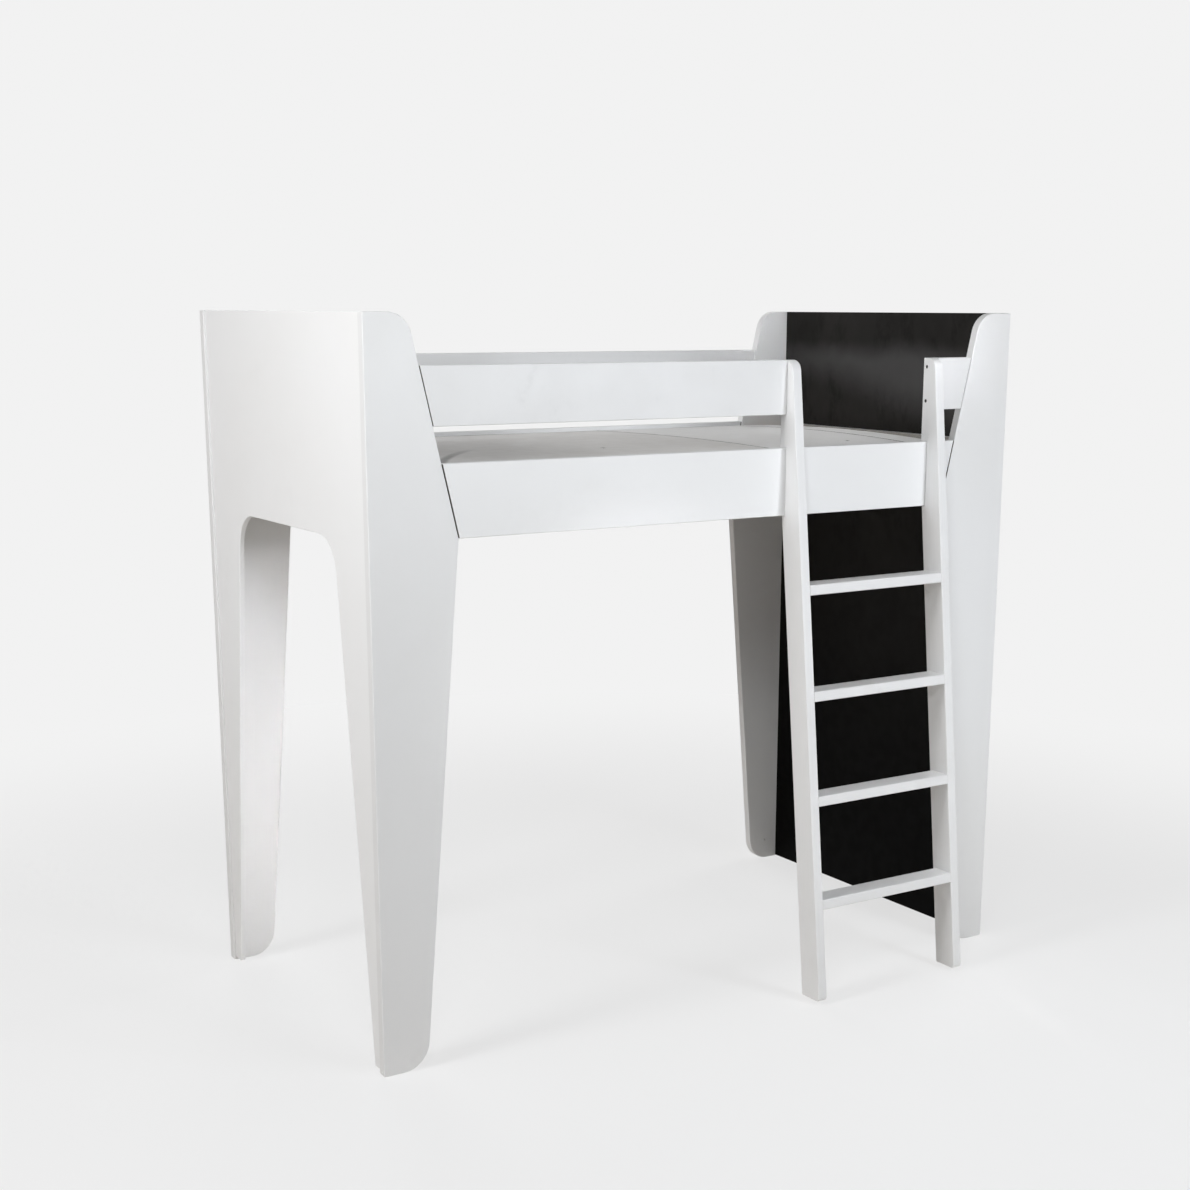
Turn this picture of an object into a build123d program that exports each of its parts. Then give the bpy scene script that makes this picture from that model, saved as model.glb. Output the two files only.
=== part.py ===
from build123d import *
import os

# A child's loft bed of painted boards: leg panels in the two long sides, an arched panel at the left
# end, a black writing panel at the right end, rails, guards, a lift-out deck and a fixed ladder.
# Millimetres. X runs along the bed, Y from the ladder side to the far side, Z up from the floor.
# The origin is on the floor, below the middle of the bed and its ladder together.

# Overall size
bed_length = 1660.0
bed_width = 858.0
bed_height = 1535.0
board = 21.0
edge_round = 2.0
rail_gap = 2.5
guard_gap = 1.6

# Leg panels, measured from the end of the bed
leg_top_width = 93.0
leg_knee_width = 195.0
leg_foot_width = 101.5
leg_top_radius = 52.0
leg_knee_radius = 8.0
leg_foot_radius = 60.0
leg_heel_radius = 6.0
leg_crown_radius = 3.0

# Side rails and guards, heights above the floor
rail_bottom = 1098.0
rail_height = 148.0
guard_bottom = 1318.0
guard_height = 117.0

# Left end panel with its arch; the arch side is measured in from the bed's outer side face
arch_board = 12.0
arch_recess = 5.0
arch_lift = 7.0
arch_top = 1095.0
arch_side_at_floor = 52.0
arch_side_at_top = 177.0
arch_radius = 82.0
arch_toe_radius = 4.0

# Right end panel, a thin black board
writing_board = 12.0
writing_recess = 2.8
writing_lift = 2.0
writing_round = 1.0

# Grooves in the legs that house the long edges of both end panels
groove_depth = 8.0
groove_play = 0.2

# Deck boards, which lie across the bed and are crowned between front and rear, more so to the right
deck_end_top = 1236.0
deck_board = 12.0
deck_play = 1.0
deck_seam_gap = 4.5
deck_seams = [204.0, 590.0]
deck_stop = 679.0
left_crown = 5.0
seam_crowns = [7.0, 13.0]
right_crown = 13.0
deck_hole_radius = 4.0
deck_holes = [(-135.0, -169.0), (479.0, -269.0)]

# Frame that carries the deck
cleat_width = 28.0
cleat_height = 45.0
end_cleat_top = 1240.0
bearer_width = 45.0
bearer_lap = 20.0
lap_play = 0.3
left_bearer_x = -244.0

# Ladder, which hangs clear of the floor; reaches are measured forward from the bed's front face
ladder_board = 24.0
ladder_left = 174.5
ladder_clear_width = 386.0
ladder_foot = 9.5
ladder_reach = 168.0
ladder_top_reach = 15.7
stile_depth = 62.0
stile_top_radius = 25.0
stile_toe_radius = 8.0
stile_heel_radius = 3.0
rung_count = 4
rung_board = 23.0
rung_depth = 53.0
rung_spacing = 235.8
first_rung_top = 242.0
rung_round = 3.0

# Dowels
dowel_radius = 4.0
dowel_play = 0.1
dowel_chamfer = 0.8
rail_dowel_length = 50.0
guard_dowel_length = 44.0
rung_dowel_length = 40.0
rung_dowel_in_stile = 14.0
rung_dowel_offset = 15.0
rail_dowel_inset = 34.0
guard_dowel_inset = 30.0

# Countersunk screws with a hexagon socket: head radius, shank radius and length of each kind
guard_screw = (4.0, 2.2, 60.0)
ladder_screw = (5.0, 2.5, 60.0)
cleat_screw = (4.0, 2.0, 40.0)
end_cleat_screw = (4.0, 2.0, 34.0)
bearer_screw = (4.0, 2.0, 40.0)
leg_bolt = (6.0, 3.0, 40.0)
head_sink = 0.8
socket_share = 0.4
socket_depth_share = 0.5
screw_play = 0.15
guard_screw_inset = 20.0
ladder_screw_heights = [1122.0, 1160.0]
cleat_screw_reach = 580.0
cleat_screw_count = 5
end_screw_places = [-300.0, -100.0, 100.0, 300.0]
leg_bolt_insets = [75.0, 140.0]
insert_radius = 4.75
insert_length = 14.0

# One small blind hole low on the inner face of the right rear leg
leg_hole_inset = 55.0
leg_hole_height = 53.0
leg_hole_radius = 3.0
leg_hole_depth = 8.0

# Places worked out from the sizes above
left_x = -bed_length / 2
right_x = bed_length / 2
front_y = (ladder_reach - bed_width) / 2
rear_y = front_y + bed_width
middle_y = (front_y + rear_y) / 2
front_inner_y = front_y + board
rear_inner_y = rear_y - board
rail_top = rail_bottom + rail_height
guard_top = guard_bottom + guard_height
inner_left_x = left_x + arch_recess + arch_board
inner_right_x = right_x - writing_recess - writing_board
deck_bottom = deck_end_top - deck_board
cleat_bottom = deck_bottom - cleat_height
cleat_middle = deck_bottom - cleat_height / 2
end_cleat_middle = end_cleat_top - cleat_height / 2
deck_start = inner_left_x + cleat_width + deck_play
half_seam = deck_seam_gap / 2
bearer_xs = [left_bearer_x, deck_seams[0]]
stile_xs = [ladder_left, ladder_left + ladder_board + ladder_clear_width]
ladder_right = stile_xs[1] + ladder_board
ladder_lean = (ladder_reach - ladder_top_reach) / (guard_top - ladder_foot)
leg_slope = (leg_knee_width - leg_top_width) / (bed_height - rail_bottom)
arch_slope = (arch_side_at_top - arch_side_at_floor) / arch_top


# Distance of the slanted leg edge from the bed's end, above the knee
def leg_edge(height):
    return leg_top_width + leg_slope * (bed_height - height)


# Y of the ladder's front edge and of its back edge, which is parallel to it
def stile_front(height):
    return front_y - ladder_reach + ladder_lean * (height - ladder_foot)


def stile_back(height):
    return stile_front(height) + stile_depth


# A flat sheet with the given corners and corner radii, given thickness along one direction
def sheet(corners, radii, thickness, direction):
    rim = FilletPolyline(*corners, radius=radii, close=True)
    return extrude(make_face(rim), amount=thickness, dir=direction)


def side_sheet(points, radii, y_low):
    corners = [(x, y_low, z) for x, z in points]
    return sheet(corners, radii, board, (0, 1, 0))


def end_sheet(points, radii, x_low, thickness):
    corners = [(x_low, y, z) for y, z in points]
    return sheet(corners, radii, thickness, (1, 0, 0))


# Rounds the rims of a sheet's two broad faces
def soften(solid, axis, radius=edge_round):
    faces = solid.faces().sort_by(axis)
    return fillet(faces[0].edges() + faces[-1].edges(), radius)


def block(low, high):
    size = [b - a for a, b in zip(low, high)]
    return Pos(*low) * Box(*size, align=(Align.MIN, Align.MIN, Align.MIN))


# A round bar from a start point along a direction
def rod(start, direction, radius, length):
    return Solid.make_cylinder(radius, length, Plane(start, z_dir=direction))


def cut(solid, tools):
    for tool in tools:
        solid = solid - tool
    return solid


def along(point, direction, distance):
    return Vector(point) + Vector(direction) * distance


# A dowel that starts at a point, and the hole that takes it
def dowel(start, direction, length):
    bar = rod(start, direction, dowel_radius, length)
    return chamfer(bar.edges().filter_by(GeomType.CIRCLE), dowel_chamfer)


def dowel_hole(start, direction, length):
    mouth = along(start, direction, -dowel_play)
    return rod(mouth, direction, dowel_radius + dowel_play, length + 2 * dowel_play)


# A countersunk screw: the start is on the board's face, and the head sits a little below it
def screw(start, direction, kind):
    head_radius, shank_radius, length = kind
    top = Plane(along(start, direction, head_sink), z_dir=direction)
    cone_height = head_radius - shank_radius
    head = Solid.make_cone(head_radius, shank_radius, cone_height, top)
    shank = Solid.make_cylinder(shank_radius, length - head_sink, top)
    point = shank.edges().filter_by(GeomType.CIRCLE).sort_by_distance(top.origin)[-1]
    shank = chamfer(point, shank_radius / 2)
    socket = top * extrude(RegularPolygon(head_radius * socket_share, 6), head_radius * socket_depth_share)
    return head + shank - socket


def screw_hole(start, direction, kind):
    head_radius, shank_radius, length = kind
    wide = head_radius + screw_play
    narrow = shank_radius + screw_play
    mouth = rod(start, direction, wide, head_sink)
    seat = Plane(along(start, direction, head_sink), z_dir=direction)
    cone = Solid.make_cone(wide, narrow, wide - narrow, seat)
    shaft = rod(start, direction, narrow, length + screw_play)
    return [mouth, cone, shaft]


def screw_group(axes, kind):
    return Compound([screw(start, direction, kind).solid() for start, direction in axes])


def screw_holes(axes, kind):
    return [tool for start, direction in axes for tool in screw_hole(start, direction, kind)]


def dowel_group(axes, length):
    return Compound([dowel(start, direction, length).solid() for start, direction in axes])


def dowel_holes(axes, length):
    return [dowel_hole(start, direction, length) for start, direction in axes]


# Dowel lines through the slanted butt joints, at one end of the bed and in one long side
def butt_dowels(end, y_low, heights, length, gap):
    axes = []
    for z in heights:
        joint = bed_length / 2 - leg_edge(z) - gap / 2
        axes.append(((end * joint - length / 2, y_low + board / 2, z), (1, 0, 0)))
    return axes


def bolt_lines(end, side):
    face_y = front_inner_y + cleat_width if side < 0 else rear_inner_y - cleat_width
    return [
        ((end * (bed_length / 2 - inset), face_y, cleat_middle), (0, side, 0))
        for inset in leg_bolt_insets
    ]


# Places of every fastener
side_lows = {-1: front_y, 1: rear_inner_y}
rail_dowel_heights = [rail_bottom + rail_dowel_inset, rail_top - rail_dowel_inset]
guard_dowel_heights = [guard_bottom + guard_dowel_inset, guard_top - guard_dowel_inset]
corners = [(end, side) for end in (-1, 1) for side in (-1, 1)]
rail_dowel_axes = {
    (end, side): butt_dowels(end, side_lows[side], rail_dowel_heights, rail_dowel_length, rail_gap)
    for end, side in corners
}
guard_dowel_axes = {
    (end, side): butt_dowels(end, side_lows[side], guard_dowel_heights, guard_dowel_length, guard_gap)
    for end, side in corners
}
leg_bolt_axes = {c: bolt_lines(*c) for c in corners}
guard_screw_heights = [guard_bottom + guard_screw_inset, guard_top - guard_screw_inset]
guard_screw_axes = [
    [((stile_xs[0] + ladder_board, front_y + board / 2, z), (-1, 0, 0)) for z in guard_screw_heights],
    [((stile_xs[1], front_y + board / 2, z), (1, 0, 0)) for z in guard_screw_heights],
]
ladder_screw_axes = [
    [((x + ladder_board / 2, front_inner_y, z), (0, -1, 0)) for z in ladder_screw_heights]
    for x in stile_xs
]
cleat_screw_step = 2 * cleat_screw_reach / (cleat_screw_count - 1)
cleat_screw_xs = [cleat_screw_step * i - cleat_screw_reach for i in range(cleat_screw_count)]
cleat_screw_axes = {
    -1: [((x, front_inner_y + cleat_width, cleat_middle), (0, -1, 0)) for x in cleat_screw_xs],
    1: [((x, rear_inner_y - cleat_width, cleat_middle), (0, 1, 0)) for x in cleat_screw_xs],
}
left_cleat_axes = [
    ((inner_left_x + cleat_width, middle_y + y, end_cleat_middle), (-1, 0, 0)) for y in end_screw_places
]
right_cleat_axes = [
    ((inner_right_x - cleat_width, middle_y + y, end_cleat_middle), (1, 0, 0)) for y in end_screw_places
]
bearer_screw_ys = {
    -1: front_inner_y + cleat_width - bearer_lap / 2,
    1: rear_inner_y - cleat_width + bearer_lap / 2,
}
bearer_screw_axes = {
    side: [((x, y, deck_bottom), (0, 0, -1)) for x in bearer_xs] for side, y in bearer_screw_ys.items()
}


# The fastener lines of all four corners in one list
def every_corner(axes_by_corner):
    return [axis for axes in axes_by_corner.values() for axis in axes]


# Leg panel in one long side: a wide knee at the rail's underside, tapering to the foot
def leg(end, side):
    profile = [
        (0, 0),
        (0, bed_height),
        (leg_top_width, bed_height),
        (leg_knee_width, rail_bottom),
        (leg_foot_width, 0),
    ]
    radii = [leg_heel_radius, leg_crown_radius, leg_top_radius, leg_knee_radius, leg_foot_radius]
    points = [(end * (bed_length / 2 - inset), z) for inset, z in profile]
    panel = soften(side_sheet(points, radii, side_lows[side]), Axis.Y)
    panel = cut(panel, dowel_holes(rail_dowel_axes[end, side], rail_dowel_length))
    panel = cut(panel, dowel_holes(guard_dowel_axes[end, side], guard_dowel_length))
    panel = cut(panel, insert_holes(leg_bolt_axes[end, side]))
    return panel - end_panel_groove(end, side)


# Groove down the inner face of a leg for the edge of an end panel, open at the top
def end_panel_groove(end, side):
    low_x = inner_left_x - arch_board if end < 0 else inner_right_x
    high_x = inner_left_x if end < 0 else inner_right_x + writing_board
    low_y = front_inner_y - groove_depth if side < 0 else rear_inner_y
    low_z = arch_lift if end < 0 else writing_lift
    low = (low_x - groove_play, low_y, low_z)
    return block(low, (high_x + groove_play, low_y + groove_depth, bed_height))


def insert_place(bolt):
    start, direction = bolt
    return along(start, direction, cleat_width), direction


def insert_holes(bolts):
    return [rod(*insert_place(bolt), insert_radius, insert_length) for bolt in bolts]


def threaded_inserts():
    sleeves = []
    for bolt in every_corner(leg_bolt_axes):
        start, direction = insert_place(bolt)
        bore = rod(start, direction, leg_bolt[1] + screw_play, insert_length)
        sleeves.append((rod(start, direction, insert_radius, insert_length) - bore).solid())
    return Compound(sleeves)


# Left end panel between the left legs, with its tall arch open to the floor
def left_end_panel():
    half = bed_width / 2 - board + groove_depth
    toe = bed_width / 2 - arch_side_at_floor - arch_slope * arch_lift
    crown = bed_width / 2 - arch_side_at_top
    profile = [
        (-half, arch_lift),
        (-half, bed_height),
        (half, bed_height),
        (half, arch_lift),
        (toe, arch_lift),
        (crown, arch_top),
        (-crown, arch_top),
        (-toe, arch_lift),
    ]
    radii = [0, 0, 0, 0, arch_toe_radius, arch_radius, arch_radius, arch_toe_radius]
    points = [(middle_y + y, z) for y, z in profile]
    panel = soften(end_sheet(points, radii, inner_left_x - arch_board, arch_board), Axis.X)
    return cut(panel, screw_holes(left_cleat_axes, end_cleat_screw))


# Right end panel: a plain black sheet over the whole end
def right_end_panel():
    low = (inner_right_x, front_inner_y - groove_depth, writing_lift)
    high = (inner_right_x + writing_board, rear_inner_y + groove_depth, bed_height)
    panel = soften(block(low, high), Axis.X, writing_round)
    return cut(panel, screw_holes(right_cleat_axes, end_cleat_screw))


# A straight board in one long side whose ends follow the slanted leg edges, or stop at given places
def side_board(side, bottom, top, gap, left_stop=None, right_stop=None):
    def end_x(end, z, stop):
        return stop if stop is not None else end * (bed_length / 2 - leg_edge(z) - gap)

    points = [
        (end_x(-1, bottom, left_stop), bottom),
        (end_x(-1, top, left_stop), top),
        (end_x(1, top, right_stop), top),
        (end_x(1, bottom, right_stop), bottom),
    ]
    return soften(side_sheet(points, [0, 0, 0, 0], side_lows[side]), Axis.Y)


def side_rail(side):
    rail = side_board(side, rail_bottom, rail_top, rail_gap)
    for end in (-1, 1):
        rail = cut(rail, dowel_holes(rail_dowel_axes[end, side], rail_dowel_length))
    rail = cut(rail, screw_holes(cleat_screw_axes[side], cleat_screw))
    if side < 0:
        for axes in ladder_screw_axes:
            rail = cut(rail, screw_holes(axes, ladder_screw))
    return rail


def front_guard():
    guard = side_board(-1, guard_bottom, guard_top, guard_gap, right_stop=ladder_left)
    guard = cut(guard, dowel_holes(guard_dowel_axes[-1, -1], guard_dowel_length))
    return cut(guard, screw_holes(guard_screw_axes[0], guard_screw))


def short_front_guard():
    guard = side_board(-1, guard_bottom, guard_top, guard_gap, left_stop=ladder_right)
    guard = cut(guard, dowel_holes(guard_dowel_axes[1, -1], guard_dowel_length))
    return cut(guard, screw_holes(guard_screw_axes[1], guard_screw))


def rear_guard():
    guard = side_board(1, guard_bottom, guard_top, guard_gap)
    for end in (-1, 1):
        guard = cut(guard, dowel_holes(guard_dowel_axes[end, 1], guard_dowel_length))
    return guard


# Ladder stile: it leans out to its foot, is notched over the front rail and ends level with the guards
def stile(index):
    points = [
        (stile_front(ladder_foot), ladder_foot),
        (stile_front(guard_top), guard_top),
        (front_inner_y, guard_top),
        (front_inner_y, rail_top),
        (front_y, rail_top),
        (front_y, rail_bottom),
        (stile_back(rail_bottom), rail_bottom),
        (stile_back(ladder_foot), ladder_foot),
    ]
    radii = [stile_toe_radius, stile_top_radius, 0, 0, 0, 0, 0, stile_heel_radius]
    panel = soften(end_sheet(points, radii, stile_xs[index], ladder_board), Axis.X)
    panel = cut(panel, screw_holes(guard_screw_axes[index], guard_screw))
    panel = cut(panel, screw_holes(ladder_screw_axes[index], ladder_screw))
    for number in range(rung_count):
        panel = cut(panel, dowel_holes(rung_dowel_axes(number)[index], rung_dowel_length))
    return panel


def rung_top(number):
    return first_rung_top + rung_spacing * number


# Dowels of one rung, first those in its left end and then those in its right end
def rung_dowel_axes(number):
    z = rung_top(number) - rung_board / 2
    center_y = stile_front(z) + rung_depth / 2
    ys = [center_y - rung_dowel_offset, center_y + rung_dowel_offset]
    left_start = stile_xs[0] + ladder_board - rung_dowel_in_stile
    right_start = stile_xs[1] + rung_dowel_in_stile
    return [
        [((left_start, y, z), (1, 0, 0)) for y in ys],
        [((right_start, y, z), (-1, 0, 0)) for y in ys],
    ]


# A level rung, flush with the stiles' front edges and a little shallower, cut to their lean
def rung(number):
    top = rung_top(number)
    bottom = top - rung_board
    points = [
        (stile_front(bottom), bottom),
        (stile_front(top), top),
        (stile_front(top) + rung_depth, top),
        (stile_front(bottom) + rung_depth, bottom),
    ]
    step = end_sheet(points, [rung_round] * 4, stile_xs[0] + ladder_board, ladder_clear_width)
    for axes in rung_dowel_axes(number):
        step = cut(step, dowel_holes(axes, rung_dowel_length))
    return step


# A loose deck board between two places along the bed, with its own crown at each of them
def deck_panel(low_x, high_x, low_crown, high_crown):
    near = front_inner_y + deck_play
    far = rear_inner_y - deck_play

    def arc(x, z, crown):
        return ThreePointArc((x, near, z), (x, middle_y, z + crown), (x, far, z))

    def section(x, crown):
        under = arc(x, deck_bottom, crown)
        upper = arc(x, deck_end_top, crown)
        return make_face([under, Line(under @ 1, upper @ 1), upper, Line(upper @ 0, under @ 0)])

    panel = loft([section(low_x, low_crown), section(high_x, high_crown)], ruled=True)
    for x, y in deck_holes:
        if low_x < x < high_x:
            start = (x, middle_y + y, deck_bottom)
            panel = panel - rod(start, (0, 0, 1), deck_hole_radius, deck_board + high_crown)
    return panel


# Long cleat on a rail's inner face, lapped on to both legs, with notches for the cross bearers
def side_cleat(side):
    low_y = front_inner_y if side < 0 else rear_inner_y - cleat_width
    cleat = block((inner_left_x, low_y, cleat_bottom), (inner_right_x, low_y + cleat_width, deck_bottom))
    notch_y = low_y + cleat_width - bearer_lap if side < 0 else low_y
    half = bearer_width / 2 + lap_play
    for x in bearer_xs:
        low = (x - half, notch_y, cleat_middle)
        cleat = cleat - block(low, (x + half, notch_y + bearer_lap, deck_bottom))
    cleat = cut(cleat, screw_holes(cleat_screw_axes[side], cleat_screw))
    cleat = cut(cleat, screw_holes(bearer_screw_axes[side], bearer_screw))
    for end in (-1, 1):
        cleat = cut(cleat, screw_holes(leg_bolt_axes[end, side], leg_bolt))
    return cleat


# Short cleat across an end panel, between the two long cleats and a little higher
def end_cleat(low_x, axes):
    low = (low_x, front_inner_y + cleat_width, end_cleat_top - cleat_height)
    high = (low_x + cleat_width, rear_inner_y - cleat_width, end_cleat_top)
    return cut(block(low, high), screw_holes(axes, end_cleat_screw))


# Cross bearer below the deck; its upper half laps into the notches of the long cleats
def bearer(x):
    half = bearer_width / 2
    near = front_inner_y + cleat_width
    far = rear_inner_y - cleat_width
    beam = block((x - half, near, cleat_bottom), (x + half, far, deck_bottom))
    lap = bearer_lap - lap_play
    tongue = block((x - half, near - lap, cleat_middle), (x + half, far + lap, deck_bottom))
    beam = beam + tongue
    for side in (-1, 1):
        beam = cut(beam, screw_holes(bearer_screw_axes[side], bearer_screw))
    return beam


parts = {
    "left_front_leg": leg(-1, -1),
    "left_rear_leg": leg(-1, 1),
    "right_front_leg": leg(1, -1),
    "right_rear_leg": leg(1, 1)
    - rod(
        (right_x - leg_hole_inset, rear_inner_y, leg_hole_height),
        (0, 1, 0),
        leg_hole_radius,
        leg_hole_depth,
    ),
    "left_end_panel": left_end_panel(),
    "right_end_panel": right_end_panel(),
    "front_side_rail": side_rail(-1),
    "rear_side_rail": side_rail(1),
    "front_guard": front_guard(),
    "short_front_guard": short_front_guard(),
    "rear_guard": rear_guard(),
    "ladder_left_stile": stile(0),
    "ladder_right_stile": stile(1),
    "left_deck_board": deck_panel(deck_start, deck_seams[0] - half_seam, left_crown, seam_crowns[0]),
    "middle_deck_board": deck_panel(deck_seams[0] + half_seam, deck_seams[1] - half_seam, *seam_crowns),
    "right_deck_slat": deck_panel(deck_seams[1] + half_seam, deck_stop, seam_crowns[1], right_crown),
    "front_deck_cleat": side_cleat(-1),
    "rear_deck_cleat": side_cleat(1),
    "left_deck_cleat": end_cleat(inner_left_x, left_cleat_axes),
    "right_deck_cleat": end_cleat(inner_right_x - cleat_width, right_cleat_axes),
    "left_deck_bearer": bearer(bearer_xs[0]),
    "right_deck_bearer": bearer(bearer_xs[1]),
    "guard_screws": screw_group(guard_screw_axes[0] + guard_screw_axes[1], guard_screw),
    "ladder_screws": screw_group(ladder_screw_axes[0] + ladder_screw_axes[1], ladder_screw),
    "long_cleat_screws": screw_group(cleat_screw_axes[-1] + cleat_screw_axes[1], cleat_screw),
    "end_cleat_screws": screw_group(left_cleat_axes + right_cleat_axes, end_cleat_screw),
    "bearer_screws": screw_group(bearer_screw_axes[-1] + bearer_screw_axes[1], bearer_screw),
    "leg_bolts": screw_group(every_corner(leg_bolt_axes), leg_bolt),
    "leg_inserts": threaded_inserts(),
    "rail_dowels": dowel_group(every_corner(rail_dowel_axes), rail_dowel_length),
    "guard_dowels": dowel_group(every_corner(guard_dowel_axes), guard_dowel_length),
    "rung_dowels": dowel_group(
        [a for number in range(rung_count) for axes in rung_dowel_axes(number) for a in axes],
        rung_dowel_length,
    ),
}
for number in range(rung_count):
    parts[f"ladder_rung_{number + 1}"] = rung(number)

os.makedirs("parts", exist_ok=True)
for name, shape in parts.items():
    export_step(shape, f"parts/{name}.step")
print(len(parts), "pieces written")
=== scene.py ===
import math

import bpy
from mathutils import Matrix, Vector

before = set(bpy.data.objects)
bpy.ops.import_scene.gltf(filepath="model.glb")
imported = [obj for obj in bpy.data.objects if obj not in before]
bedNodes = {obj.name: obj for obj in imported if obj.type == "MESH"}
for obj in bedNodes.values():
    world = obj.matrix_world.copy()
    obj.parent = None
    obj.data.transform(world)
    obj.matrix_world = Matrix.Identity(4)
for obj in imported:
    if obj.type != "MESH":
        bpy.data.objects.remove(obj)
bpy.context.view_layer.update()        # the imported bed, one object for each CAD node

scene = bpy.context.scene
print("bed loaded:", len(bedNodes), "nodes")


# small helpers for node trees: a socket is linked, anything else is set

def feed(tree, socket, value):
    if isinstance(value, bpy.types.NodeSocket):
        tree.links.new(value, socket)
    elif socket.type == "RGBA" and len(value) == 3:
        socket.default_value = (*value, 1.0)
    else:
        socket.default_value = value


def addNode(tree, kind, inputs=None, **settings):
    node = tree.nodes.new(kind)
    for name, value in settings.items():
        setattr(node, name, value)
    for socket, value in (inputs or {}).items():
        feed(tree, node.inputs[socket], value)
    return node


def calc(tree, operation, first, second=0.0, clamp=False):
    node = addNode(tree, "ShaderNodeMath", {0: first, 1: second}, operation=operation, use_clamp=clamp)
    return node.outputs[0]


def plus(tree, first, second):
    return calc(tree, "ADD", first, second)


def minus(tree, first, second):
    return calc(tree, "SUBTRACT", first, second)


def times(tree, first, second):
    return calc(tree, "MULTIPLY", first, second)


def larger(tree, first, second):
    return calc(tree, "MAXIMUM", first, second)


def measure(tree, operation, first, second=(0, 0, 0)):
    node = addNode(tree, "ShaderNodeVectorMath", {0: first, 1: second}, operation=operation)
    return node.outputs["Value"]


def axes(tree, vector):
    return addNode(tree, "ShaderNodeSeparateXYZ", {0: vector}).outputs


def faceNormal(tree):
    return addNode(tree, "ShaderNodeNewGeometry").outputs["Normal"]


def spread(tree, value, low, high, newLow=0.0, newHigh=1.0):
    inputs = {0: value, 1: low, 2: high, 3: newLow, 4: newHigh}
    return addNode(tree, "ShaderNodeMapRange", inputs, interpolation_type="SMOOTHSTEP").outputs[0]


def blendColour(tree, factor, first, second):
    inputs = {0: factor, 6: first, 7: second}        # 6 and 7 are its colours
    return addNode(tree, "ShaderNodeMix", inputs, data_type="RGBA").outputs[2]


def noise(tree, vector, scale, detail=2.0, roughness=0.5, distortion=0.0):
    inputs = {"Vector": vector, "Scale": scale, "Detail": detail, "Roughness": roughness,
              "Distortion": distortion}
    return addNode(tree, "ShaderNodeTexNoise", inputs).outputs[0]


def turned(tree, vector, scale=(1, 1, 1), degrees=(0, 0, 0), move=(0, 0, 0)):
    angles = [math.radians(angle) for angle in degrees]
    inputs = {"Vector": vector, "Location": move, "Rotation": angles, "Scale": scale}
    return addNode(tree, "ShaderNodeMapping", inputs).outputs[0]


def newGroup(name, inputs, outputs):
    tree = bpy.data.node_groups.new(name, "ShaderNodeTree")
    for label, value in inputs.items():
        kind = "NodeSocketVector" if value is None else "NodeSocketFloat"
        socket = tree.interface.new_socket(label, in_out="INPUT", socket_type=kind)
        if value is not None:
            socket.default_value = value
    for label in outputs:
        tree.interface.new_socket(label, in_out="OUTPUT", socket_type="NodeSocketFloat")
    return tree, tree.nodes.new("NodeGroupInput").outputs, tree.nodes.new("NodeGroupOutput").inputs


def useGroup(tree, group, inputs):
    node = addNode(tree, "ShaderNodeGroup", node_tree=group)
    for label, value in inputs.items():
        feed(tree, node.inputs[label], value)
    return node.outputs


# effects that the finishes share
# coat of paint: fine dimples, a slow drift in tone, and patches of more and less gloss
filmShape = dict(dimpleShare=0.6, flowShare=0.9, flowScale=0.09, glossScale=9.0, cloudRange=(0.34, 0.66),
                 glossRange=(0.3, 0.7))


def makePaintFilm(shape):
    tree, given, result = newGroup("paintFilm", {"Vector": None, "Dimples": 420.0, "Clouds": 2.2},
                                   ["Height", "Cloud", "Gloss"])
    dimples = noise(tree, given["Vector"], given["Dimples"])
    flow = noise(tree, given["Vector"], times(tree, given["Dimples"], shape["flowScale"]), detail=1.0)
    height = plus(tree, times(tree, dimples, shape["dimpleShare"]), times(tree, flow, shape["flowShare"]))
    cloud = noise(tree, given["Vector"], given["Clouds"], detail=3.0, distortion=0.6)
    glossScale = times(tree, given["Clouds"], shape["glossScale"])
    gloss = noise(tree, given["Vector"], glossScale, detail=4.0, roughness=0.6)
    feed(tree, result["Height"], height)
    feed(tree, result["Cloud"], spread(tree, cloud, *shape["cloudRange"]))
    feed(tree, result["Gloss"], spread(tree, gloss, *shape["glossRange"]))
    return tree


# soft smudges in a few places, each broken up by finer noise
smudgeShape = dict(fineScale=7.0, fineRange=(0.36, 0.68), start=0.75, coverShare=0.4, fade=0.2)


def makeHandMarks(shape):
    tree, given, result = newGroup("handMarks", {"Vector": None, "Scale": 3.0, "Cover": 0.4}, ["Mask"])
    place = noise(tree, given["Vector"], given["Scale"], distortion=0.8)
    fineScale = times(tree, given["Scale"], shape["fineScale"])
    fine = noise(tree, given["Vector"], fineScale, detail=5.0, roughness=0.62, distortion=0.4)
    start = minus(tree, shape["start"], times(tree, given["Cover"], shape["coverShare"]))
    patch = spread(tree, place, start, plus(tree, start, shape["fade"]))
    feed(tree, result["Mask"], times(tree, patch, spread(tree, fine, *shape["fineRange"])))
    return tree


# one along every edge and fading within Width of it, uneven along its length
edgeShape = dict(likeness=(0.995, 0.86), unevenRange=(0.35, 0.6), least=0.35)


def makeArris(shape):
    tree, given, result = newGroup("arris", {"Vector": None, "Width": 0.004, "Uneven": 30.0}, ["Mask"])
    rounded = addNode(tree, "ShaderNodeBevel", {"Radius": given["Width"]}, samples=4).outputs[0]
    likeness = measure(tree, "DOT_PRODUCT", rounded, faceNormal(tree))
    edge = spread(tree, likeness, *shape["likeness"])
    uneven = noise(tree, given["Vector"], given["Uneven"], detail=3.0)
    broken = spread(tree, uneven, *shape["unevenRange"], shape["least"], 1.0)
    feed(tree, result["Mask"], calc(tree, "MULTIPLY", edge, broken, clamp=True))
    return tree


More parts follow.
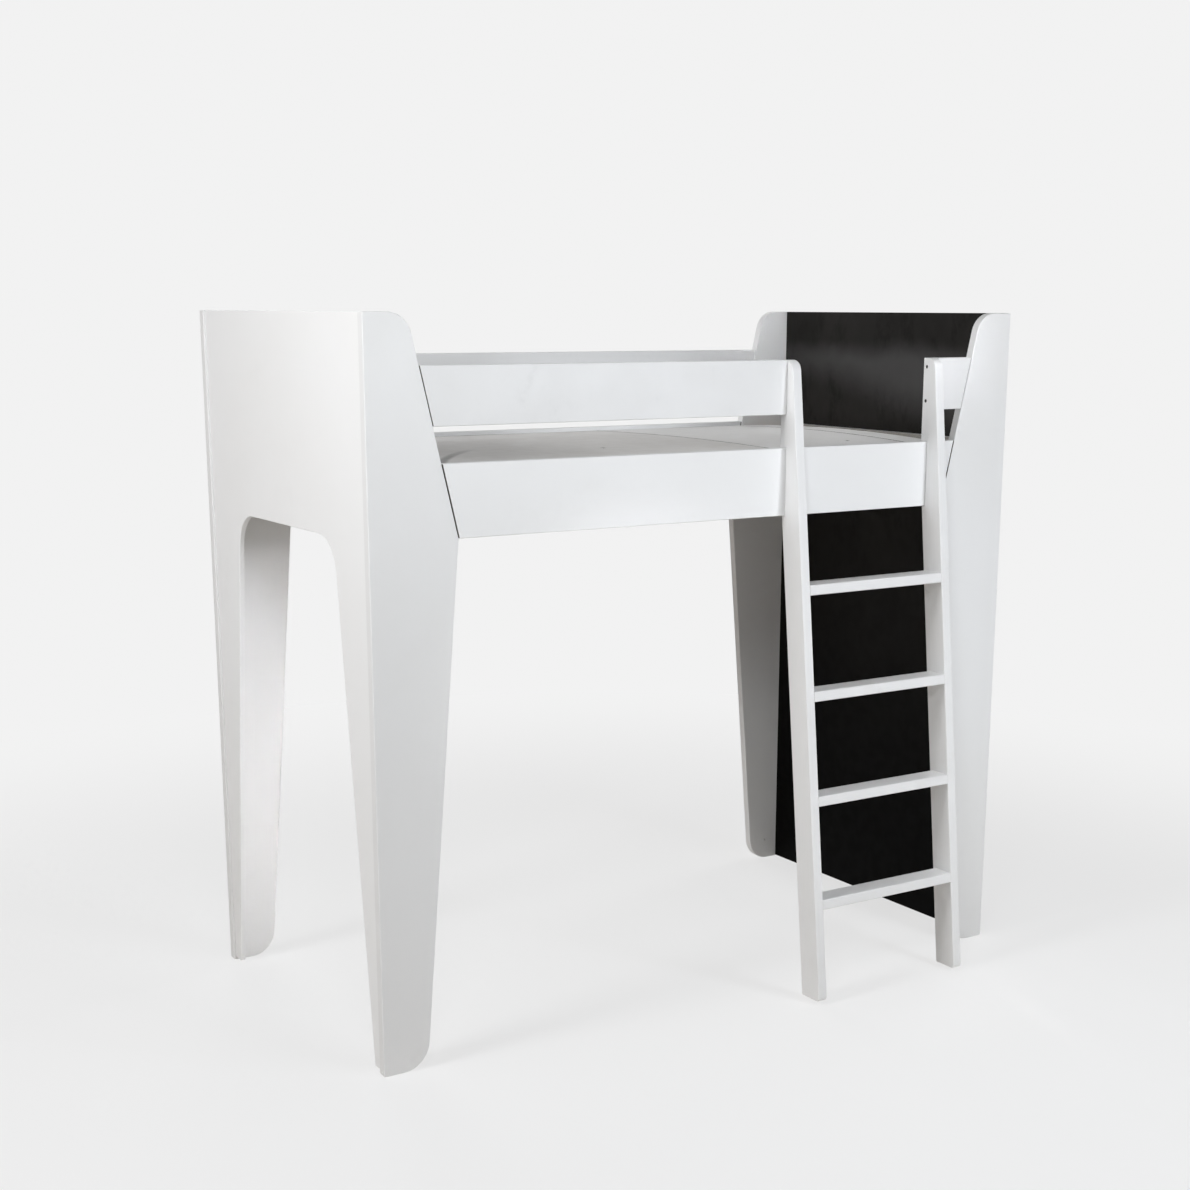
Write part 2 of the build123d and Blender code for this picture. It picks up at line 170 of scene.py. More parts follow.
# grain runs along X: growth rings about the X axis, drawn out along it, and fine fibres
grainShape = dict(ringDraw=(0.05, 1, 1), heart=(0, 0.013, 0.021), waver=4.0, waverDetail=3.0, waverScale=0.35,
                  lateRange=(0.35, 0.98), fibreDraw=(0.022, 1, 1), fibreRange=(0.3, 0.7))


def makeWoodFigure(shape):
    tree, given, result = newGroup("woodFigure", {"Vector": None, "Rings": 120.0, "Fibres": 700.0},
                                   ["Late", "Fibre"])
    along = turned(tree, given["Vector"], shape["ringDraw"], move=shape["heart"])
    ringInputs = {"Vector": along, "Scale": given["Rings"], "Distortion": shape["waver"],
                  "Detail": shape["waverDetail"], "Detail Scale": shape["waverScale"]}
    rings = addNode(tree, "ShaderNodeTexWave", ringInputs, wave_type="RINGS", rings_direction="X",
                    wave_profile="SAW").outputs["Fac"]
    drawn = turned(tree, given["Vector"], shape["fibreDraw"])
    fibres = noise(tree, drawn, given["Fibres"], detail=4.0, roughness=0.6)
    feed(tree, result["Late"], spread(tree, rings, *shape["lateRange"]))
    feed(tree, result["Fibre"], spread(tree, fibres, *shape["fibreRange"]))
    return tree


# Joint: faces of the slanted butt joints at the legs, between two heights
# Outer: the long outer edges at both ends of the bed
endShape = dict(square=(0.7, 0.9), jointStart=(0.60, 0.61), jointEnd=(0.76, 0.75), outerStart=(0.80, 0.81),
                fade=0.002)


def makeBoardEnds(shape):
    tree, given, result = newGroup("boardEnds", {"Vector": None, "Low": 0.0, "High": 1.0},
                                   ["Joint", "Outer"])
    endwise = calc(tree, "ABSOLUTE", axes(tree, faceNormal(tree))["X"])
    square = spread(tree, endwise, *shape["square"])
    place = axes(tree, given["Vector"])
    along = calc(tree, "ABSOLUTE", place["X"])
    near = times(tree, spread(tree, along, *shape["jointStart"]), spread(tree, along, *shape["jointEnd"]))
    above = spread(tree, minus(tree, place["Z"], given["Low"]), 0.0, shape["fade"])
    below = spread(tree, minus(tree, given["High"], place["Z"]), 0.0, shape["fade"])
    band = times(tree, above, below)
    feed(tree, result["Joint"], times(tree, band, times(tree, near, square)))
    feed(tree, result["Outer"], times(tree, square, spread(tree, along, *shape["outerStart"])))
    return tree


# painted shadow: a bowed dark line on the deck near its front left corner: metres, and degrees from the bed's
# length
shadowLineShape = dict(start=(-0.630, -0.265, 0.0), turn=50.4, length=0.405, bow=0.020, half=0.016, core=0.2,
                  fadeIn=(0.0, 0.1), fadeOut=(1.0, 0.3))


def makeBowedShadowLine(shape):
    tree, given, result = newGroup("bowedShadowLine", {"Vector": None}, ["Mask"])
    inputs = {0: given["Vector"], 1: shape["start"]}
    fromStart = addNode(tree, "ShaderNodeVectorMath", inputs, operation="SUBTRACT").outputs[0]
    place = axes(tree, turned(tree, fromStart, degrees=(0, 0, -shape["turn"])))
    share = calc(tree, "DIVIDE", place["X"], shape["length"])
    arch = times(tree, share, minus(tree, 1.0, share))
    middle = times(tree, arch, 4.0 * shape["bow"])
    off = calc(tree, "ABSOLUTE", minus(tree, place["Y"], middle))
    line = spread(tree, off, shape["half"], shape["half"] * shape["core"])
    fade = times(tree, spread(tree, share, *shape["fadeIn"]), spread(tree, share, *shape["fadeOut"]))
    feed(tree, result["Mask"], times(tree, line, fade))
    return tree


paintFilm = makePaintFilm(filmShape)
handMarks = makeHandMarks(smudgeShape)
arris = makeArris(edgeShape)
woodFigure = makeWoodFigure(grainShape)
boardEnds = makeBoardEnds(endShape)
bowedShadowLine = makeBowedShadowLine(shadowLineShape)
print("effects made:", len(bpy.data.node_groups))


# steps that every finish goes through

def startMaterial(name, fixed):
    material = bpy.data.materials.new(name)
    material.use_nodes = True
    tree = material.node_tree
    tree.nodes.clear()
    shader = addNode(tree, "ShaderNodeBsdfPrincipled", fixed)
    output = addNode(tree, "ShaderNodeOutputMaterial")
    tree.links.new(shader.outputs[0], output.inputs["Surface"])
    spot = addNode(tree, "ShaderNodeTexCoord").outputs["Object"]
    return material, tree, shader.inputs, spot


def filmOn(tree, spot, look):
    return useGroup(tree, paintFilm, {"Vector": spot, "Dimples": look["dimples"], "Clouds": look["clouds"]})


def marksOn(tree, vector, scale, cover):
    return useGroup(tree, handMarks, {"Vector": vector, "Scale": scale, "Cover": cover})["Mask"]


def edgesOf(tree, spot, look):
    inputs = {"Vector": spot, "Width": look["edgeWidth"], "Uneven": look["edgeUneven"]}
    return useGroup(tree, arris, inputs)["Mask"]


def grainOf(tree, spot, degrees, look):
    along = turned(tree, spot, degrees=degrees)
    return useGroup(tree, woodFigure, {"Vector": along, "Rings": look["rings"], "Fibres": look["fibres"]})


def roughFrom(tree, mask, look):
    return spread(tree, mask, 0.0, 1.0, look["gloss"], look["gloss"] + look["glossRange"])


def addBump(tree, surface, height, look):
    inputs = {"Height": height, "Strength": look["bump"], "Distance": look["bumpHeight"]}
    bump = addNode(tree, "ShaderNodeBump", inputs)
    tree.links.new(bump.outputs[0], surface["Normal"])


# satin white on the board pieces: sprayed, even, a little greyer where hands and feet reach it, with a painted
# highlight as a lighter tone along the edges
panelWhite = dict(fresh=(0.838, 0.842, 0.845), aged=(0.824, 0.826, 0.824), shine=0.5, dimples=430.0, clouds=1.7,
                  edge=(0.875, 0.877, 0.877), edgeWidth=0.004, edgeUneven=22.0, edgeShare=0.6,
                  smudge=(0.70, 0.70, 0.695), smudgeScale=3.4, smudgeCover=0.42, smudgeDepth=0.13,
                  smudgeLeast=0.15, smudgeAt=(0.0, 0.0, 0.0), smudgeReach=90.0, smudgeCore=0.3,
                  scuffTop=0.14, footScuffAndDeckShadowDepth=0.2, scuffDraw=(1, 1, 0.35), scuffScale=55.0,
                  scuffRange=(0.52, 0.74), soilRough=0.35, raw=(0.150, 0.130, 0.112), jointBand=(1.098, 1.246),
                  outer=(0.755, 0.757, 0.757), outerDepth=0.0, gloss=0.40, glossRange=0.08, bump=0.16,
                  bumpHeight=0.00012)
# the legs' long outer edges are given a darker, duller tone
legWhite = dict(panelWhite, outerDepth=1.0)
# the rails: painted light, a slightly lighter tone than the panels
railWhiteLit = dict(panelWhite, fresh=(0.872, 0.877, 0.881), aged=(0.862, 0.866, 0.868))
# the guards: painted shade, a shade greyer than the panels, and marked most where hands rest
guardWhiteShaded = dict(panelWhite, fresh=(0.800, 0.804, 0.808), aged=(0.790, 0.793, 0.795),
                  smudge=(0.68, 0.685, 0.69), smudgeScale=11.0, smudgeCover=0.62, smudgeDepth=0.30,
                  smudgeAt=(-0.35, -0.345, 1.39), smudgeReach=0.26, jointBand=(1.318, 1.435))


def makePanelWhite(name, look):
    material, tree, surface, spot = startMaterial(name, {"Specular IOR Level": look["shine"]})
    film = filmOn(tree, spot, look)
    marks = marksOn(tree, spot, look["smudgeScale"], look["smudgeCover"])
    edge = edgesOf(tree, spot, look)
    foot = spread(tree, axes(tree, spot)["Z"], look["scuffTop"], 0.0)
    drawn = turned(tree, spot, look["scuffDraw"])
    rub = noise(tree, drawn, look["scuffScale"], detail=5.0, roughness=0.65, distortion=0.5)
    rubbed = spread(tree, rub, *look["scuffRange"])
    footScuffAndDeckShadow = times(tree, times(tree, foot, rubbed), look["footScuffAndDeckShadowDepth"])
    away = measure(tree, "DISTANCE", spot, look["smudgeAt"])
    reach, core = look["smudgeReach"], look["smudgeReach"] * look["smudgeCore"]
    handled = spread(tree, away, reach, core, look["smudgeLeast"], look["smudgeDepth"])
    soil = larger(tree, times(tree, marks, handled), footScuffAndDeckShadow)
    low, high = look["jointBand"]
    ends = useGroup(tree, boardEnds, {"Vector": spot, "Low": low, "High": high})
    outer = times(tree, ends["Outer"], look["outerDepth"])
    colour = blendColour(tree, film["Cloud"], look["fresh"], look["aged"])
    # painted highlight: a lighter tone along the edges
    colour = blendColour(tree, times(tree, edge, look["edgeShare"]), colour, look["edge"])
    colour = blendColour(tree, soil, colour, look["smudge"])
    colour = blendColour(tree, outer, colour, look["outer"])
    colour = blendColour(tree, ends["Joint"], colour, look["raw"])
    rough = roughFrom(tree, film["Gloss"], look)
    feed(tree, surface["Base Color"], colour)
    feed(tree, surface["Roughness"], plus(tree, rough, times(tree, soil, look["soilRough"])))
    addBump(tree, surface, film["Height"], look)
    return material


# white on the ladder's solid wood: brushed on thinly, so the grain shows through along each piece
ladderWhite = dict(fresh=(0.83, 0.834, 0.838), thin=(0.762, 0.757, 0.745), wornAndLitTone=(0.70, 0.675, 0.635), shine=0.5,
                   dimples=520.0, clouds=4.0, rings=70.0, fibres=620.0, fibreShare=0.65, lateShare=0.35,
                   streak=0.34, wear=0.30, edgeWidth=0.005, edgeUneven=26.0, edgePolish=0.06, markScale=6.0,
                   markCover=0.5, markDepth=0.22, filmShare=0.5, gloss=0.36, glossRange=0.12, bump=0.3,
                   bumpHeight=0.0002)


def makeLadderWhite(name, degrees, look):
    material, tree, surface, spot = startMaterial(name, {"Specular IOR Level": look["shine"]})
    film = filmOn(tree, spot, look)
    grain = grainOf(tree, spot, degrees, look)
    edge = edgesOf(tree, spot, look)
    marks = marksOn(tree, spot, look["markScale"], look["markCover"])
    fibre = times(tree, grain["Fibre"], look["fibreShare"])
    streaks = plus(tree, fibre, times(tree, grain["Late"], look["lateShare"]))
    soil = larger(tree, times(tree, edge, look["wear"]), times(tree, marks, look["markDepth"]))
    colour = blendColour(tree, times(tree, streaks, look["streak"]), look["fresh"], look["thin"])
    rough = roughFrom(tree, film["Gloss"], look)
    feed(tree, surface["Base Color"], blendColour(tree, soil, colour, look["wornAndLitTone"]))
    feed(tree, surface["Roughness"], minus(tree, rough, times(tree, edge, look["edgePolish"])))
    height = plus(tree, times(tree, film["Height"], look["filmShare"]), streaks)
    addBump(tree, surface, height, look)
    return material


# matt black writing panel: painted shade darkens it towards the floor, and a painted reflection lies as a soft
# pale band across its upper part
panelBlack = dict(fresh=(0.0022, 0.0021, 0.0020), freshShare=0.3, wornAndLitTone=(0.0235, 0.0221, 0.0208), shadeRampLow=0.20,
                  shadeRampHigh=1.25, shine=0.03, dimples=620.0, clouds=3.4, paintedReflection=(0.0760, 0.0740, 0.0742),
                  reflectionTop=1.446, reflectionFoot=1.300, reflectionRise=0.234, reflectionSoft=0.045, topFade=0.6, footFade=1.6,
                  reflectionDepth=0.92, reflectionRough=0.2, sway=0.07, swayScale=4.5, rubbed=(0.0110, 0.0104, 0.0096),
                  rubScale=9.0, rubCover=0.85, rubDepth=0.75, rubDraw=(1, 1, 0.55), rubLean=(8, 0, 0),
                  gloss=0.46, glossRange=0.16, bump=0.2, bumpHeight=0.0001)


def makePanelBlack(name, look):
    material, tree, surface, spot = startMaterial(name, {"Specular IOR Level": look["shine"]})
    film = filmOn(tree, spot, look)
    place = axes(tree, spot)
    # the painted reflection, a pale band, lies between a level upper edge and a lower edge that rises towards
    # the far side
    top, soft = look["reflectionTop"], look["reflectionSoft"]
    drift = noise(tree, spot, look["swayScale"], detail=3.0, roughness=0.55, distortion=0.4)
    sway = times(tree, minus(tree, drift, 0.5), look["sway"])
    wavering = plus(tree, place["Z"], sway)
    foot = plus(tree, times(tree, place["Y"], look["reflectionRise"]), look["reflectionFoot"])
    lower = spread(tree, minus(tree, wavering, foot), -soft, soft * look["footFade"])
    upper = spread(tree, wavering, top + soft * look["topFade"], top - soft)
    paintedReflection = times(tree, times(tree, lower, upper), look["reflectionDepth"])
    # darker rubbed patches, drawn out upright, where the chalk was wiped off
    drawn = turned(tree, spot, look["rubDraw"], look["rubLean"])
    rubs = marksOn(tree, drawn, look["rubScale"], look["rubCover"])
    # painted shade: the panel's tone goes from the dark tone near the floor to the lighter tone higher up, and
    # the rubbed patches fade towards the floor
    shadeAndRubRamp = spread(tree, place["Z"], look["shadeRampLow"], look["shadeRampHigh"])
    wiped = times(tree, rubs, times(tree, shadeAndRubRamp, look["rubDepth"]))
    colour = blendColour(tree, shadeAndRubRamp, look["fresh"], look["wornAndLitTone"])
    colour = blendColour(tree, times(tree, film["Cloud"], look["freshShare"]), colour, look["fresh"])
    colour = blendColour(tree, wiped, colour, look["rubbed"])
    # painted reflection: the pale band blended over the black
    colour = blendColour(tree, paintedReflection, colour, look["paintedReflection"])
    rough = roughFrom(tree, film["Gloss"], look)
    feed(tree, surface["Base Color"], colour)
    feed(tree, surface["Roughness"], plus(tree, rough, times(tree, paintedReflection, look["reflectionRough"])))
    addBump(tree, surface, film["Height"], look)
    return material


# pale coated deck boards: fine speckle, dull rubbed patches, dirt and painted shade along the edges and seams,
# raw fibre at the cuts
# the left board's darker tone is partly its own board tone and partly painted shade from the end panel
deckDarkAndShaded = dict(coat=(0.705, 0.694, 0.676), shine=0.45, dimples=380.0, clouds=3.2, cloudDepth=0.5,
                coatedFrom=(0.55, 0.75), rubbed=(0.645, 0.632, 0.612), markDraw=(1, 0.3, 1), markScale=5.0,
                markCover=0.6, markDepth=0.45, speck=(0.60, 0.585, 0.56), speckScale=900.0,
                speckRange=(0.66, 0.72), speckDepth=0.35, grimeAndShade=(0.075, 0.071, 0.066), edgeWidth=0.007,
                edgeUneven=24.0, edgeDirtAndShade=0.85, footScuffAndDeckShadowDepth=0.8, cut=(0.20, 0.19, 0.175),
                cutLight=(0.28, 0.27, 0.25), cutRough=0.8, fibreDraw=(1, 1, 3), fibreScale=520.0,
                fibreRange=(0.35, 0.65), gloss=0.44, glossRange=0.14, bump=0.2, bumpHeight=0.00012)
deckFresh = dict(deckDarkAndShaded, coat=(0.80, 0.798, 0.790), rubbed=(0.745, 0.742, 0.73))
# the end cleats are light on top and dark on their sides
cleatCoat = dict(deckDarkAndShaded, coat=(0.81, 0.805, 0.79), rubbed=(0.76, 0.755, 0.735))


def makeDeck(name, look):
    material, tree, surface, spot = startMaterial(name, {"Specular IOR Level": look["shine"]})
    film = filmOn(tree, spot, look)
    marks = marksOn(tree, turned(tree, spot, look["markDraw"]), look["markScale"], look["markCover"])
    upward = calc(tree, "ABSOLUTE", axes(tree, faceNormal(tree))["Z"])
    coated = spread(tree, upward, *look["coatedFrom"])
    specks = spread(tree, noise(tree, spot, look["speckScale"], detail=1.0), *look["speckRange"])
    # dirt and painted shade: a dark tone along every edge of the boards, most seen at the seams
    dirtAndShadeAlongEdges = times(tree, edgesOf(tree, spot, look), look["edgeDirtAndShade"])
    # painted shadow: a thin bowed dark line near the deck's front left corner
    footScuffAndDeckShadow = times(tree, useGroup(tree, bowedShadowLine, {"Vector": spot})["Mask"], look["footScuffAndDeckShadowDepth"])
    colour = blendColour(tree, times(tree, film["Cloud"], look["cloudDepth"]), look["coat"], look["rubbed"])
    colour = blendColour(tree, times(tree, marks, look["markDepth"]), colour, look["rubbed"])
    colour = blendColour(tree, times(tree, specks, look["speckDepth"]), colour, look["speck"])
    colour = blendColour(tree, larger(tree, dirtAndShadeAlongEdges, footScuffAndDeckShadow), colour, look["grimeAndShade"])
    drawn = turned(tree, spot, look["fibreDraw"])
    fibre = noise(tree, drawn, look["fibreScale"], detail=3.0, roughness=0.6)
    raw = blendColour(tree, spread(tree, fibre, *look["fibreRange"]), look["cut"], look["cutLight"])
    rough = roughFrom(tree, film["Gloss"], look)
    rawRough = times(tree, minus(tree, 1.0, coated), look["cutRough"])
    feed(tree, surface["Base Color"], blendColour(tree, coated, raw, colour))
    feed(tree, surface["Roughness"], larger(tree, rough, rawRough))
    addBump(tree, surface, film["Height"], look)
    return material


# planed softwood below the deck and the beech of the dowels: one recipe, two sets of tones
softwood = dict(early=(0.76, 0.585, 0.375), late=(0.57, 0.365, 0.185), fibre=(0.83, 0.68, 0.475), shine=0.4,
                fibreDepth=0.45, lateHeight=0.4, rings=150.0, fibres=620.0, edgeWidth=0.003, edgeUneven=40.0,
                edgeDepth=0.3, gloss=0.5, glossRange=0.16, bump=0.35, bumpHeight=0.0003)
beech = dict(softwood, early=(0.70, 0.50, 0.335), late=(0.60, 0.395, 0.24), fibre=(0.78, 0.60, 0.43),
             rings=420.0, fibres=1500.0, gloss=0.48, glossRange=0.12, bump=0.25, bumpHeight=0.0002)


def makeWood(name, degrees, look):
    material, tree, surface, spot = startMaterial(name, {"Specular IOR Level": look["shine"]})
    grain = grainOf(tree, spot, degrees, look)
    edge = edgesOf(tree, spot, look)
    colour = blendColour(tree, grain["Late"], look["early"], look["late"])
    colour = blendColour(tree, times(tree, grain["Fibre"], look["fibreDepth"]), colour, look["fibre"])
    colour = blendColour(tree, times(tree, edge, look["edgeDepth"]), colour, look["late"])
    feed(tree, surface["Base Color"], colour)
    feed(tree, surface["Roughness"], roughFrom(tree, grain["Fibre"], look))
    height = plus(tree, times(tree, grain["Late"], look["lateHeight"]), grain["Fibre"])
    addBump(tree, surface, height, look)
    return material


# zinc plate on the hidden screws and bolts, dark steel on the screws that show, brass on the inserts
zincPlate = dict(bright=(0.60, 0.605, 0.62), dull=(0.40, 0.405, 0.42), spangle=900.0, spangleRange=(0.35, 0.7),
                 spangleDepth=0.6, turningDraw=(1, 1, 0.15), turningScale=3.0, tarnishScale=160.0,
                 tarnishCover=0.6, edgeWidth=0.0006, edgeUneven=300.0, edgeShare=0.5, gloss=0.26,
                 glossRange=0.22, bump=0.15, bumpHeight=0.00004)
darkSteel = dict(zincPlate, bright=(0.115, 0.113, 0.112), dull=(0.05, 0.049, 0.048), gloss=0.42)
turnedBrass = dict(zincPlate, bright=(0.83, 0.63, 0.30), dull=(0.62, 0.44, 0.19), spangle=700.0, gloss=0.22,
                   glossRange=0.2)


def makeMetal(name, look):
    material, tree, surface, spot = startMaterial(name, {"Metallic": 1.0})
    cells = noise(tree, spot, look["spangle"], detail=3.0, roughness=0.6, distortion=0.4)
    turning = noise(tree, turned(tree, spot, look["turningDraw"]), look["spangle"] * look["turningScale"])
    tarnish = marksOn(tree, spot, look["tarnishScale"], look["tarnishCover"])
    edge = edgesOf(tree, spot, look)
    dull = larger(tree, spread(tree, cells, *look["spangleRange"], 0.0, look["spangleDepth"]), tarnish)
    colour = blendColour(tree, dull, look["bright"], look["dull"])
    colour = blendColour(tree, times(tree, edge, look["edgeShare"]), colour, look["bright"])
    feed(tree, surface["Base Color"], colour)
    feed(tree, surface["Roughness"], roughFrom(tree, dull, look))
    addBump(tree, surface, turning, look)
    return material


# which finish each node gets; the degrees turn the grain from the bed's length to the piece's own
stileLean = 6.1        # degrees from upright
alongBed, acrossBed, alongStile = (0, 0, 0), (0, 0, -90), (stileLean, 90, 0)
legs = ["left_front_leg", "left_rear_leg", "right_front_leg", "right_rear_leg"]
stiles = ["ladder_left_stile", "ladder_right_stile"]
rungs = [f"ladder_rung_{step}" for step in range(1, 5)]
hiddenFixings = ["ladder_screws", "long_cleat_screws", "end_cleat_screws", "bearer_screws", "leg_bolts"]
finishes = [
    (makePanelWhite("panelWhite", panelWhite), ["left_end_panel"]),
    (makePanelWhite("legWhite", legWhite), legs),
    (makePanelWhite("railWhiteLit", railWhiteLit), ["front_side_rail", "rear_side_rail"]),
    (makePanelWhite("guardWhiteShaded", guardWhiteShaded), ["front_guard", "short_front_guard", "rear_guard"]),
    (makeLadderWhite("stileWhite", alongStile, ladderWhite), stiles),
    (makeLadderWhite("rungWhite", alongBed, ladderWhite), rungs),
    (makePanelBlack("panelBlack", panelBlack), ["right_end_panel"]),
    (makeDeck("deckDarkAndShaded", deckDarkAndShaded), ["left_deck_board"]),
    (makeDeck("deckFresh", deckFresh), ["middle_deck_board", "right_deck_slat"]),
    (makeDeck("cleatCoat", cleatCoat), ["left_deck_cleat", "right_deck_cleat"]),
    (makeWood("cleatSoftwood", alongBed, softwood), ["front_deck_cleat", "rear_deck_cleat"]),
    (makeWood("bearerSoftwood", acrossBed, softwood), ["left_deck_bearer", "right_deck_bearer"]),
    (makeWood("dowelBeech", alongBed, beech), ["rail_dowels", "guard_dowels", "rung_dowels"]),
    (makeMetal("darkSteel", darkSteel), ["guard_screws"]),
    (makeMetal("zincPlate", zincPlate), hiddenFixings),
    (makeMetal("turnedBrass", turnedBrass), ["leg_inserts"]),
]
dressed = set()
for material, names in finishes:
    for name in names:
        bedNodes[name].data.materials.clear()
        bedNodes[name].data.materials.append(material)
        dressed.add(name)
print("finishes:", len(finishes), "on", len(dressed), "nodes; bare:", sorted(set(bedNodes) - dressed))


# rays that the eye sees, straight or in a reflection
def eyeRays(tree):
    path = addNode(tree, "ShaderNodeLightPath").outputs
    mirrored = larger(tree, path["Is Glossy Ray"], path["Is Transmission Ray"])
    return larger(tree, path["Is Camera Ray"], mirrored)


# floor: pale to the eye, keeps the bed's shadow nearby and fades into the background further off
floorLook = dict(half=30.0, drop=0.0004, tone=(0.887, 0.887, 0.887), bounce=(0.80, 0.757, 0.705),
                 shadowShare=0.26, seenShade=(0.95, 0.95, 0.95), near=1.2, far=3.2)


def makeFloor(look):
    half, level = look["half"], -look["drop"]
    mesh = bpy.data.meshes.new("studioFloor")
    corners = [(-half, -half, level), (half, -half, level), (half, half, level), (-half, half, level)]
    mesh.from_pydata(corners, [], [(0, 1, 2, 3)])
    floor = bpy.data.objects.new("studioFloor", mesh)
    scene.collection.objects.link(floor)
    material = bpy.data.materials.new("studioFloor")
    material.use_nodes = True
    tree = material.node_tree
    tree.nodes.clear()
    spot = addNode(tree, "ShaderNodeTexCoord").outputs["Object"]
    away = measure(tree, "LENGTH", spot)
    shade = spread(tree, away, look["near"], look["far"], look["shadowShare"], 0.0)
    unshaded = minus(tree, 1.0, shade)
    glow = addNode(tree, "ShaderNodeEmission", {"Color": look["tone"], "Strength": unshaded})
    litColour = blendColour(tree, shade, (0, 0, 0), look["seenShade"])
    lit = addNode(tree, "ShaderNodeBsdfDiffuse", {"Color": litColour})
    seen = addNode(tree, "ShaderNodeAddShader", {0: glow.outputs[0], 1: lit.outputs[0]})
    bounce = addNode(tree, "ShaderNodeBsdfDiffuse", {"Color": look["bounce"]})
    shaders = {0: eyeRays(tree), 1: bounce.outputs[0], 2: seen.outputs[0]}
    mix = addNode(tree, "ShaderNodeMixShader", shaders)
    output = addNode(tree, "ShaderNodeOutputMaterial")
    tree.links.new(mix.outputs[0], output.inputs["Surface"])
    mesh.materials.append(material)


makeFloor(floorLook)

# background seen by the eye and in reflections, and the room's own soft light
roomLook = dict(seen=(0.887, 0.887, 0.887), ambient=(1.0, 0.87, 0.77), ambientLevel=0.04)


def makeRoom(look):
    world = bpy.data.worlds.new("studioRoom")
    world.use_nodes = True
    tree = world.node_tree
    tree.nodes.clear()
    seen = addNode(tree, "ShaderNodeBackground", {"Color": look["seen"], "Strength": 1.0})
    dim = {"Color": look["ambient"], "Strength": look["ambientLevel"]}
    ambient = addNode(tree, "ShaderNodeBackground", dim)
    shaders = {0: eyeRays(tree), 1: ambient.outputs[0], 2: seen.outputs[0]}
    mix = addNode(tree, "ShaderNodeMixShader", shaders)
    output = addNode(tree, "ShaderNodeOutputWorld")
    tree.links.new(mix.outputs[0], output.inputs["Surface"])
    scene.world = world


makeRoom(roomLook)
print("floor and room made")

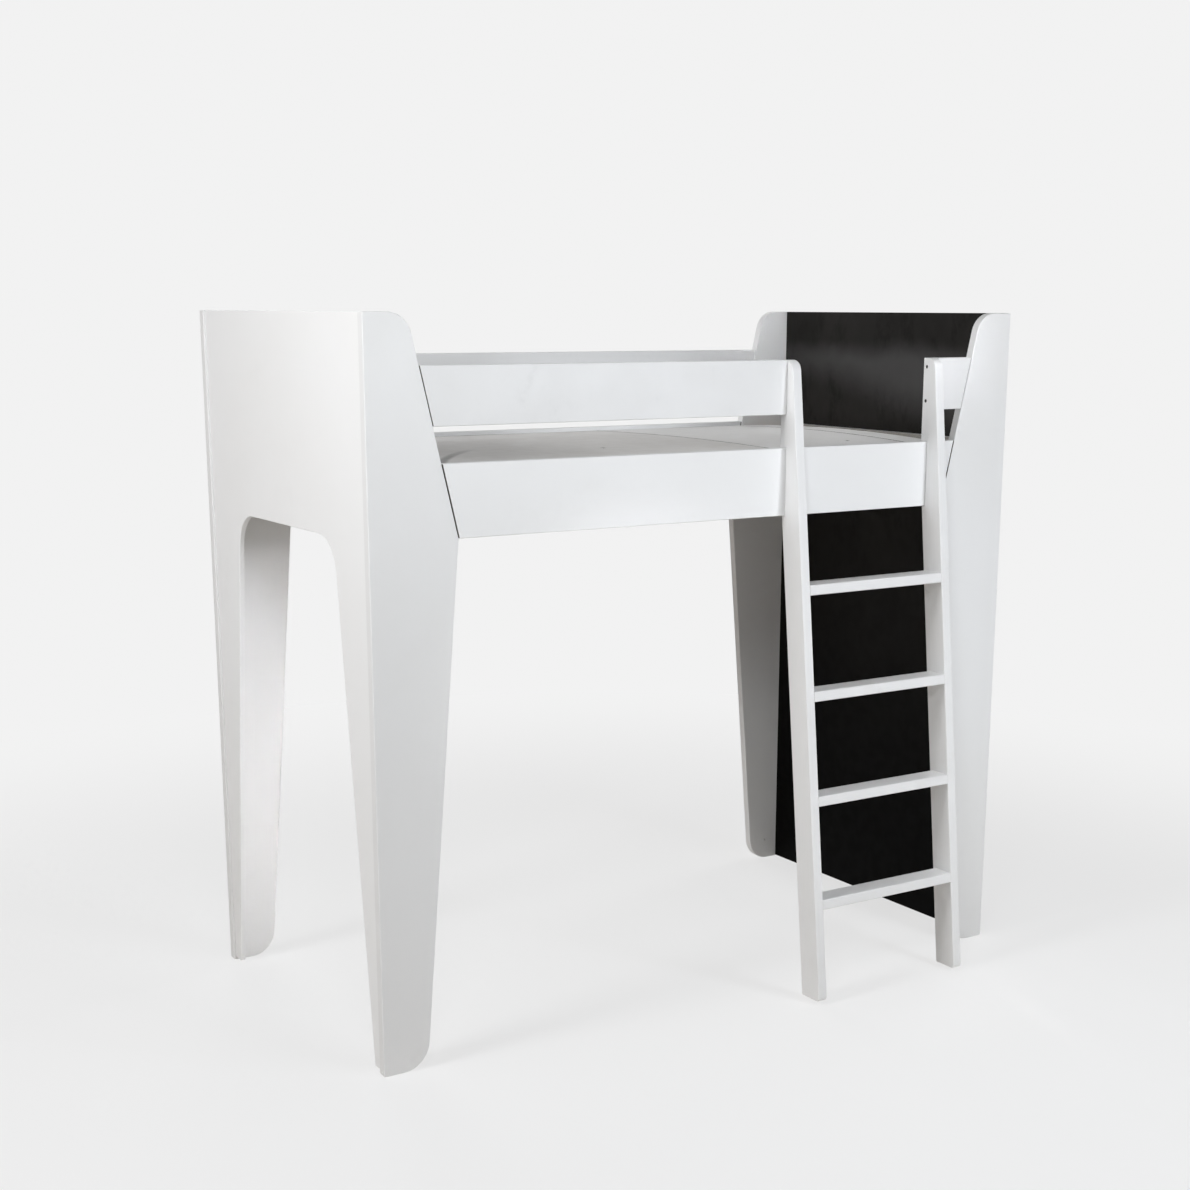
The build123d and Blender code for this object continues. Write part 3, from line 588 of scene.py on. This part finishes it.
# soft lamps: place and aim in metres, power in watts, beam in degrees
rightCool, frontCool, plain = (0.955, 0.992, 1.055), (0.965, 1.0, 1.03), (1.0, 1.0, 1.005)
lamps = {
    "rightKey": dict(place=(0.75, -1.95, 1.45), aim=(0.3, -0.35, 1.0), size=(0.25, 0.42), power=7.7,
                     colour=rightCool),
    "frontSoft": dict(place=(1.2, -4.2, 1.8), aim=(0.0, 0.0, 0.8), size=(1.2, 1.2), power=38.2,
                      colour=frontCool),
    "frontFill": dict(place=(0.5, -2.9, 1.72), aim=(0.7, 0.49, 1.45), size=(0.5, 0.5), power=4.7,
                      colour=frontCool),
    "leftUpper": dict(place=(-1.5, -2.0, 2.2), aim=(0.75, 0.49, 1.4), size=(0.5, 0.5), power=14.6,
                      colour=frontCool),
    "leftSoft": dict(place=(-2.0, -0.5, 1.9), aim=(-0.83, 0.0, 0.9), size=(0.7, 0.7), power=6.4,
                     colour=plain),
    "leftFar": dict(place=(-5.0, -0.6, 3.2), aim=(-0.83, -0.1, 1.1), size=(1.2, 1.2), power=111.0,
                    colour=plain),
    "lowRight": dict(place=(1.9, -2.2, 0.45), aim=(0.7, -0.3, 0.25), size=(0.5, 0.5), power=0.50,
                     colour=frontCool, beam=60.0),
    "lowBeam": dict(place=(1.05, -2.55, 0.55), aim=(-0.72, 0.49, 0.30), size=(0.25, 0.25), power=0.18,
                    colour=plain, beam=14.0),
    "underBeam": dict(place=(1.05, -2.55, 1.35), aim=(-0.72, 0.49, 0.60), size=(0.12, 0.12), power=0.24,
                      colour=plain, beam=17.0),
    "deckBeam": dict(place=(0.95, 1.5, 3.2), aim=(0.62, 0.05, 1.25), size=(0.25, 0.25), power=0.20,
                     colour=plain, beam=16.0),
    "deckTop": dict(place=(-0.02, 0.1, 3.4), aim=(-0.02, 0.1, 1.2), size=(0.8, 0.8), power=0.58,
                    colour=plain, beam=34.0),
    "legBeam": dict(place=(0.2, -1.9, 1.62), aim=(0.76, 0.49, 1.5), size=(0.3, 0.3), power=0.12,
                    colour=plain, beam=14.0),
    "rightSoft": dict(place=(3.1, 1.0, 1.8), aim=(0.83, 0.1, 0.9), size=(1.0, 1.0), power=21.0,
                      colour=plain),
    "rearSoft": dict(place=(0.3, 3.6, 2.0), aim=(0.0, 0.5, 0.8), size=(1.4, 1.2), power=31.0,
                     colour=plain),
}
openBeam = 180.0


def addLamp(name, look):
    light = bpy.data.lights.new(name, "AREA")
    light.shape = "RECTANGLE"
    light.size, light.size_y = look["size"]
    light.energy = look["power"]
    light.color = look["colour"]
    light.spread = math.radians(look.get("beam", openBeam))
    lamp = bpy.data.objects.new(name, light)
    ahead = Vector(look["aim"]) - Vector(look["place"])
    facing = ahead.to_track_quat("-Z", "Y").to_matrix().to_4x4()
    lamp.matrix_world = Matrix.Translation(look["place"]) @ facing
    scene.collection.objects.link(lamp)


for name, look in lamps.items():
    addLamp(name, look)
print("lamps:", len(lamps))


# the photograph's view: turned right from straight ahead, tipped down, and a little out of level
photoView = dict(place=(-2.3302, -3.5848, 1.5432), turn=33.164, tip=13.322, roll=0.238, lens=55.78,
                 sensor=36.0, shift=(-0.0350, 0.1258))


def addCamera(look):
    turn, tip, roll = (math.radians(look[key]) for key in ("turn", "tip", "roll"))
    level = Vector((math.sin(turn), math.cos(turn), 0.0))
    side = Vector((math.cos(turn), -math.sin(turn), 0.0))
    upright = Vector((0.0, 0.0, 1.0))
    ahead = level * math.cos(tip) - upright * math.sin(tip)
    lift = upright * math.cos(tip) + level * math.sin(tip)
    right = side * math.cos(roll) + lift * math.sin(roll)
    top = lift * math.cos(roll) - side * math.sin(roll)
    data = bpy.data.cameras.new("photoView")
    data.sensor_fit = "HORIZONTAL"
    data.sensor_width = look["sensor"]
    data.lens = look["lens"]
    data.shift_x, data.shift_y = look["shift"]
    camera = bpy.data.objects.new("photoView", data)
    facing = Matrix((right, top, -ahead)).transposed().to_4x4()
    camera.matrix_world = Matrix.Translation(look["place"]) @ facing
    scene.collection.objects.link(camera)
    scene.camera = camera


addCamera(photoView)
scene.view_settings.view_transform = "Standard"
print("camera set")
